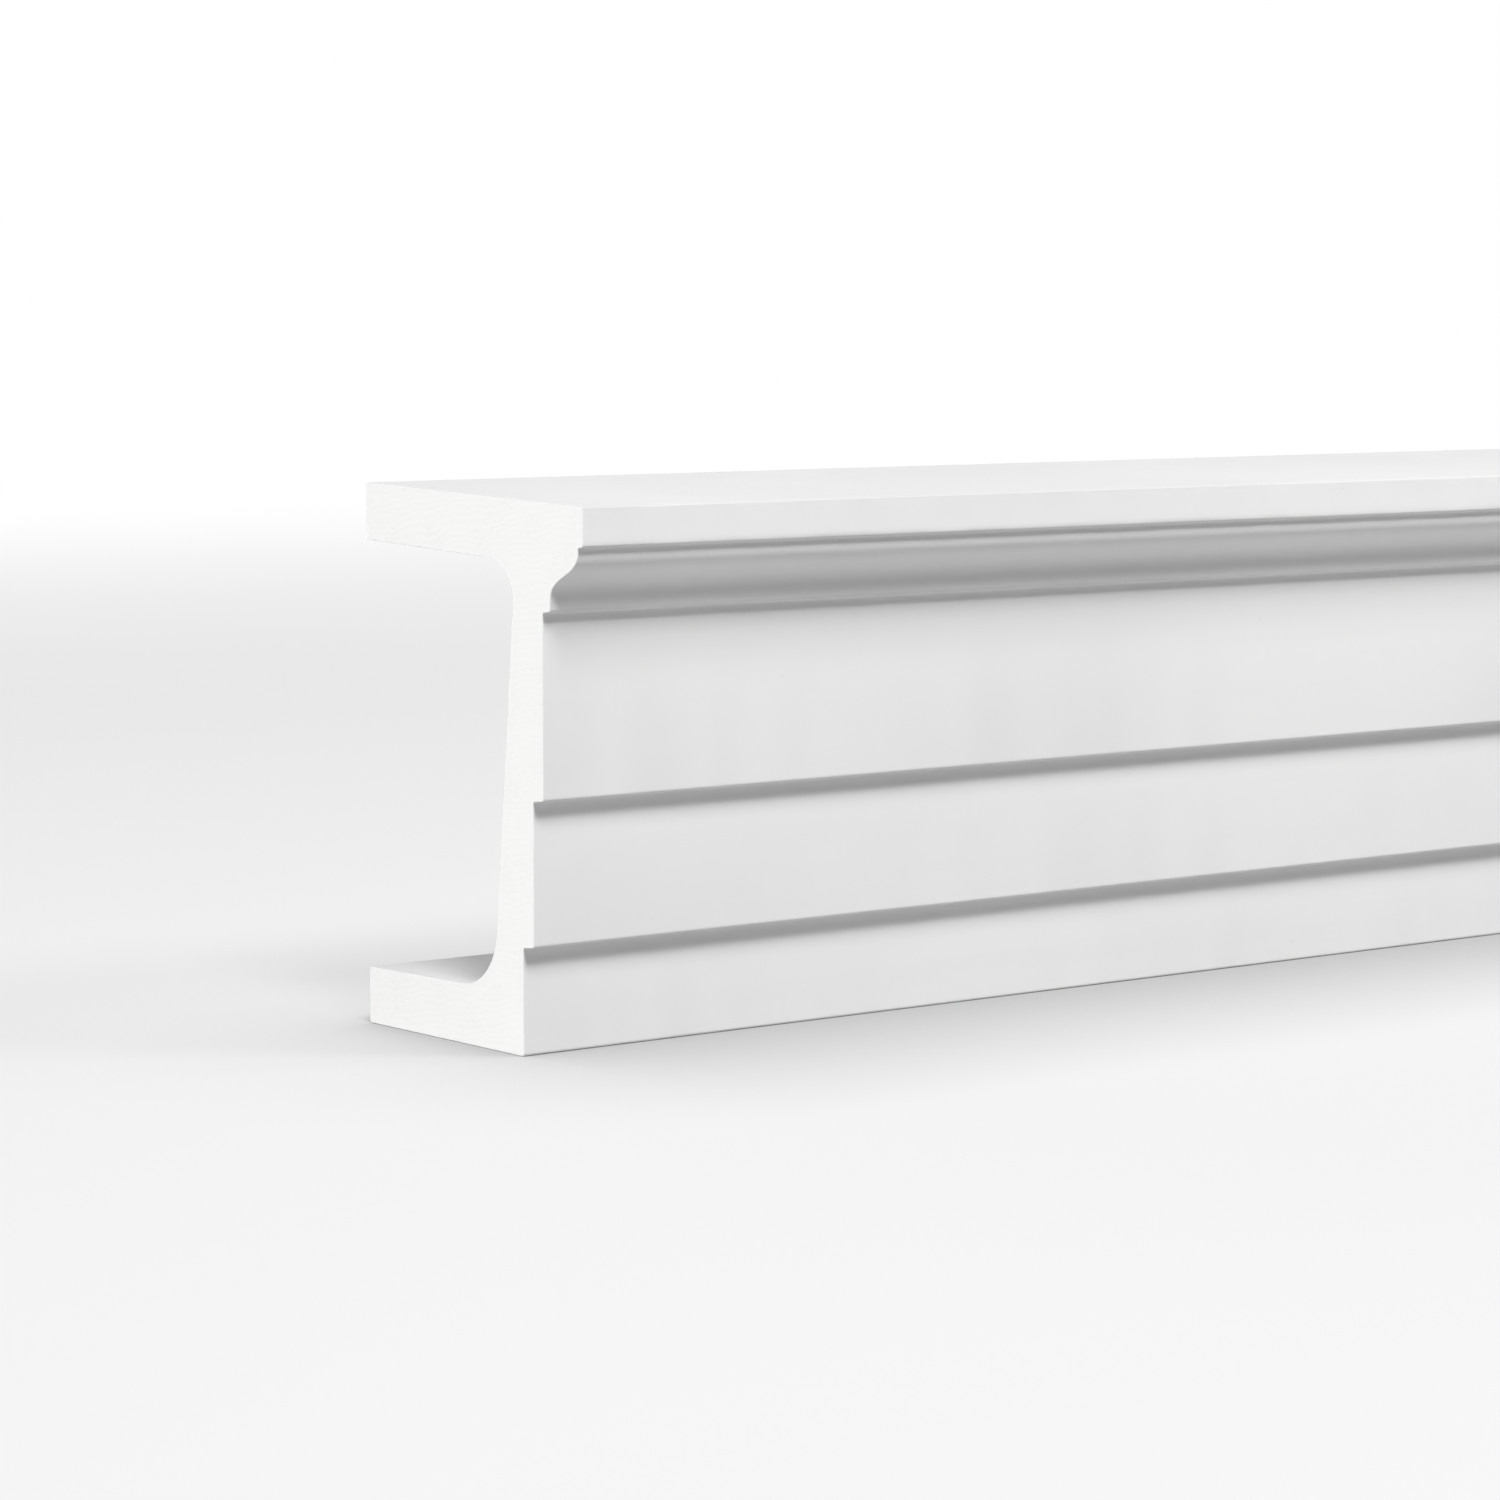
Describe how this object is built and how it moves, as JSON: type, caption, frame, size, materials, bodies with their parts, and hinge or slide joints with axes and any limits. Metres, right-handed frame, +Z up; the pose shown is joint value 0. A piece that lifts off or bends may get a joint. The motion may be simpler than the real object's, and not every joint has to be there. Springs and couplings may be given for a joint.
{
  "type": "architrave moulding",
  "caption": "Channel-section facade architrave moulding with stepped fasciae, an ogee and a square crown, fixed to a wall by its two rear edges.",
  "frame": {"origin": "on the floor under the middle of the bounding box: half way along the stock, half way between the wall plane and the crown's front, at the underside", "axes": "+X along the stock, -Y out of the moulded front, +Y towards the wall, +Z up"},
  "size_m": [2, 0.1342, 0.2],
  "materials": {
    "primed_foam": "matt white primer on rigid moulded foam"
  },
  "bodies": {
    "root": {"architrave_moulding": "primed_foam"}
  },
  "joints": []
}
